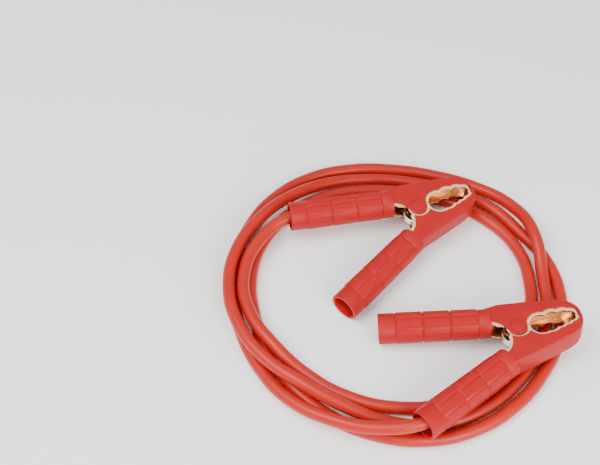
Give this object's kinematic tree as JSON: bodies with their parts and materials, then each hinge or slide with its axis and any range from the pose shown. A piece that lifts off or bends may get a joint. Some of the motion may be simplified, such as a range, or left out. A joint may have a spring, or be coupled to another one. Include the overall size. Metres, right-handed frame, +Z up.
{
  "type": "car jumper cable",
  "caption": "Heavy red booster lead lying in a loose coil, with a red insulated spring clamp on each end and toothed copper-coloured jaws.",
  "frame": {"origin": "centre of the two clamps' bounding box, on the floor", "axes": "+Z up from the floor the lead lies on; clamp A's nose points towards +X and a little towards +Y"},
  "size_m": [0.2741, 0.2706, 0.0349],
  "materials": {
    "cable_sheath": "semi-gloss",
    "red_plastic": "satin",
    "copper_plate": "polished copper plating",
    "zinc_steel": "bright zinc"
  },
  "bodies": {
    "lead": {"cable": "cable_sheath", "clamp_a_upper_cover": "red_plastic", "clamp_a_upper_jaw": "copper_plate", "clamp_a_spring": "zinc_steel", "clamp_a_pivot_pin": "zinc_steel", "clamp_b_lower_cover": "red_plastic", "clamp_b_lower_jaw": "copper_plate", "clamp_b_spring": "zinc_steel", "clamp_b_pivot_pin": "zinc_steel"},
    "clamp_a_arm": {"clamp_a_lower_cover": "red_plastic", "clamp_a_lower_jaw": "copper_plate"},
    "clamp_b_arm": {"clamp_b_upper_cover": "red_plastic", "clamp_b_upper_jaw": "copper_plate"}
  },
  "joints": [
    {"name": "clamp_a_open", "type": "hinge", "parent": "lead", "child": "clamp_a_arm", "pos_m": [-0.00566, 0.08745, 0.01999], "axis": [-0.0261, 0.1102, -0.9936], "range_deg": [0, 25], "stiffness_Nm_per_rad": 4, "springref_deg": -22.92, "deforming": ["clamp_a_spring"]},
    {"name": "clamp_b_open", "type": "hinge", "parent": "lead", "child": "clamp_b_arm", "pos_m": [0.06174, -0.0318, 0.0214], "axis": [-0.0832, 0.0904, 0.9924], "range_deg": [0, 25], "stiffness_Nm_per_rad": 4, "springref_deg": -22.92, "deforming": ["clamp_b_spring"]}
  ]
}
